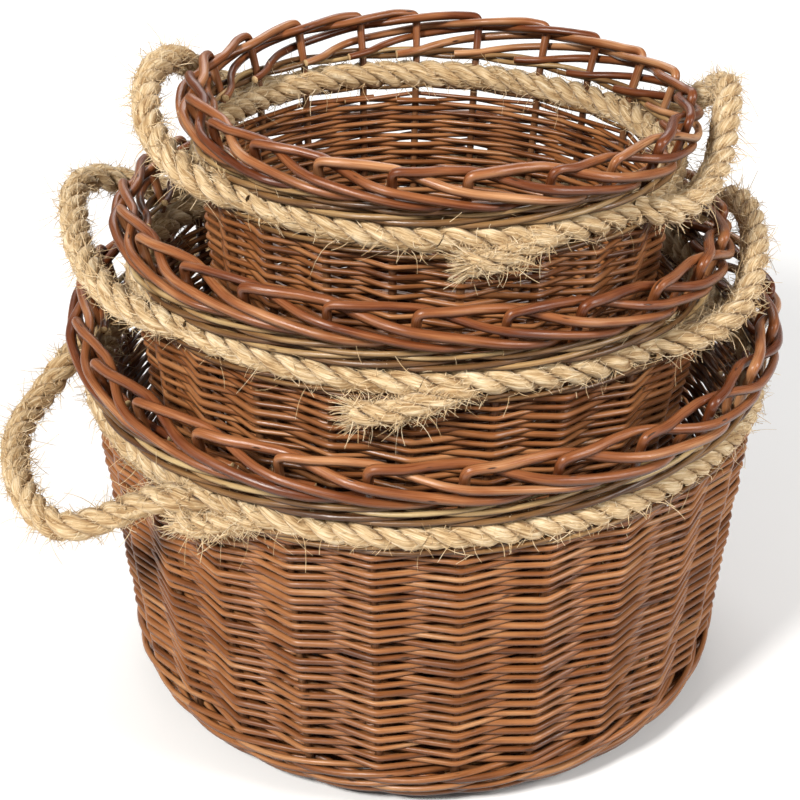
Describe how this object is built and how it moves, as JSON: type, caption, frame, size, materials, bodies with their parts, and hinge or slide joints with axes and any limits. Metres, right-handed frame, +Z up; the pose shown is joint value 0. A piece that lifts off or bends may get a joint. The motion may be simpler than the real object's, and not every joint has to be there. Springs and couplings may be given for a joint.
{
  "type": "nest of woven laundry baskets",
  "caption": "Round willow laundry baskets nested in one another, each with a plaited rim, a rope band under the rim and a pair of rope loop handles.",
  "frame": {"origin": "centre of the large basket's underside, on the floor", "axes": "+Z up, -Y to the front, +X to the right as the front is looked at"},
  "size_m": [0.6591, 0.613, 0.5498],
  "materials": {
    "willow_brown": "peeled and steamed willow, tan-brown, satin",
    "willow_red": "steamed willow border rods, reddish brown, satin",
    "willow_green": "green-brown willow wale rods, satin",
    "willow_stick": "thick willow sticks, satin",
    "sisal_rope": "three-strand natural sisal rope, matt and hairy"
  },
  "bodies": {
    "large_basket": {"large_base_sticks": "willow_stick", "large_base_weave": "willow_brown", "large_stakes": "willow_stick", "large_upsett_wale": "willow_brown", "large_wall_weave": "willow_brown", "large_lower_wale": "willow_green", "large_rope_band": "sisal_rope", "large_upper_wale": "willow_green", "large_border": "willow_red", "large_rope_end": "sisal_rope"},
    "medium_basket": {"medium_base_sticks": "willow_stick", "medium_base_weave": "willow_brown", "medium_stakes": "willow_stick", "medium_upsett_wale": "willow_brown", "medium_wall_weave": "willow_brown", "medium_lower_wale": "willow_green", "medium_rope_band": "sisal_rope", "medium_upper_wale": "willow_green", "medium_border": "willow_red", "medium_rope_end": "sisal_rope"},
    "small_basket": {"small_base_sticks": "willow_stick", "small_base_weave": "willow_brown", "small_stakes": "willow_stick", "small_upsett_wale": "willow_brown", "small_wall_weave": "willow_brown", "small_lower_wale": "willow_green", "small_rope_band": "sisal_rope", "small_upper_wale": "willow_green", "small_border": "willow_red", "small_rope_end": "sisal_rope"},
    "large_handle_left": {"large_handle_left": "sisal_rope"},
    "large_handle_right": {"large_handle_right": "sisal_rope"},
    "medium_handle_left": {"medium_handle_left": "sisal_rope"},
    "medium_handle_right": {"medium_handle_right": "sisal_rope"},
    "small_handle_left": {"small_handle_left": "sisal_rope"},
    "small_handle_right": {"small_handle_right": "sisal_rope"}
  },
  "joints": [
    {"name": "medium_lift", "type": "slide", "parent": "large_basket", "child": "medium_basket", "axis": [0.0401, 0.0871, 0.9954], "range_m": [0, 0.36]},
    {"name": "small_lift", "type": "slide", "parent": "medium_basket", "child": "small_basket", "axis": [0.0314, 0.0506, 0.9982], "range_m": [0, 0.32]},
    {"name": "large_left_handle_swing", "type": "hinge", "parent": "large_basket", "child": "large_handle_left", "pos_m": [-0.256, -0.108, 0.29], "axis": [-0.388, 0.9215, 0.0162], "range_deg": [-44, 55], "stiffness_Nm_per_rad": 2},
    {"name": "large_right_handle_swing", "type": "hinge", "parent": "large_basket", "child": "large_handle_right", "pos_m": [0.2505, 0.151, 0.292], "axis": [0.5136, -0.858, 0], "range_deg": [0, 110], "stiffness_Nm_per_rad": 2},
    {"name": "medium_left_handle_swing", "type": "hinge", "parent": "medium_basket", "child": "medium_handle_left", "pos_m": [-0.2182, 0.00209, 0.38928], "axis": [0.0314, 0.9962, -0.0815], "range_deg": [-18, 14], "stiffness_Nm_per_rad": 2},
    {"name": "medium_right_handle_swing", "type": "hinge", "parent": "medium_basket", "child": "medium_handle_right", "pos_m": [0.21949, -0.0143, 0.37407], "axis": [-0.0347, -0.9955, 0.0885], "range_deg": [-10, 7], "stiffness_Nm_per_rad": 2},
    {"name": "small_left_handle_swing", "type": "hinge", "parent": "small_basket", "child": "small_handle_left", "pos_m": [-0.16506, 0.01461, 0.48669], "axis": [0.0443, 0.997, -0.0641], "range_deg": [-42, 5], "stiffness_Nm_per_rad": 2},
    {"name": "small_right_handle_swing", "type": "hinge", "parent": "small_basket", "child": "small_handle_right", "pos_m": [0.19462, 0.00882, 0.47116], "axis": [0.0034, -0.9999, 0.0145], "range_deg": [-42, 7], "stiffness_Nm_per_rad": 2}
  ]
}
